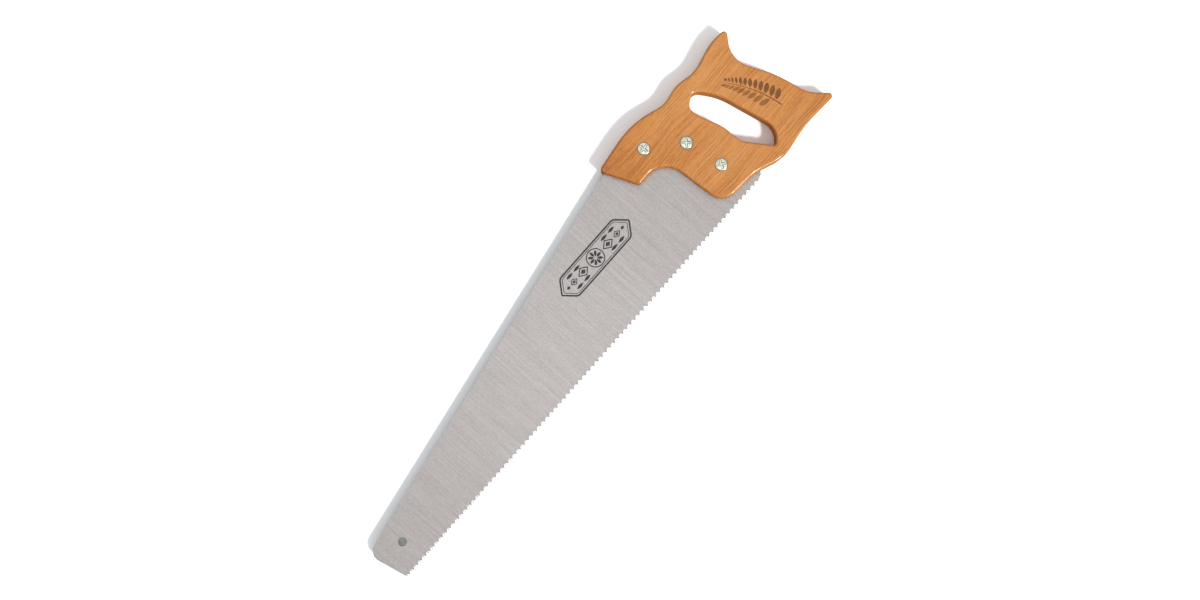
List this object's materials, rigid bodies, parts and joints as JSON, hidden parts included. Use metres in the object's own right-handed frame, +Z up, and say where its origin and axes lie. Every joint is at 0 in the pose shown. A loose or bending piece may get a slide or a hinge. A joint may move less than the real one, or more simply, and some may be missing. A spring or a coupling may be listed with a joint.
{
  "type": "hand saw",
  "caption": "Carpenter's hand saw: a tapered toothed steel blade with a hanging hole, let into a closed wooden pistol-grip handle and held by domed saw bolts.",
  "frame": {"origin": "middle of the object's outline in plan, on the surface that the saw lies on", "axes": "+X from the toe to the handle along the teeth, +Y from the teeth to the back, +Z up, through the handle's thickness"},
  "size_m": [0.666, 0.1372, 0.0233],
  "materials": {
    "blade_steel": "spring steel, ground across the blade",
    "handle_wood": "hardwood under a clear gloss lacquer",
    "bolt_zinc": "zinc-plated steel, mottled"
  },
  "bodies": {
    "root": {"blade": "blade_steel", "handle": "handle_wood", "saw_bolt_front": "bolt_zinc", "saw_bolt_middle": "bolt_zinc", "saw_bolt_rear": "bolt_zinc", "saw_nut_front": "bolt_zinc", "saw_nut_middle": "bolt_zinc", "saw_nut_rear": "bolt_zinc"}
  },
  "joints": []
}
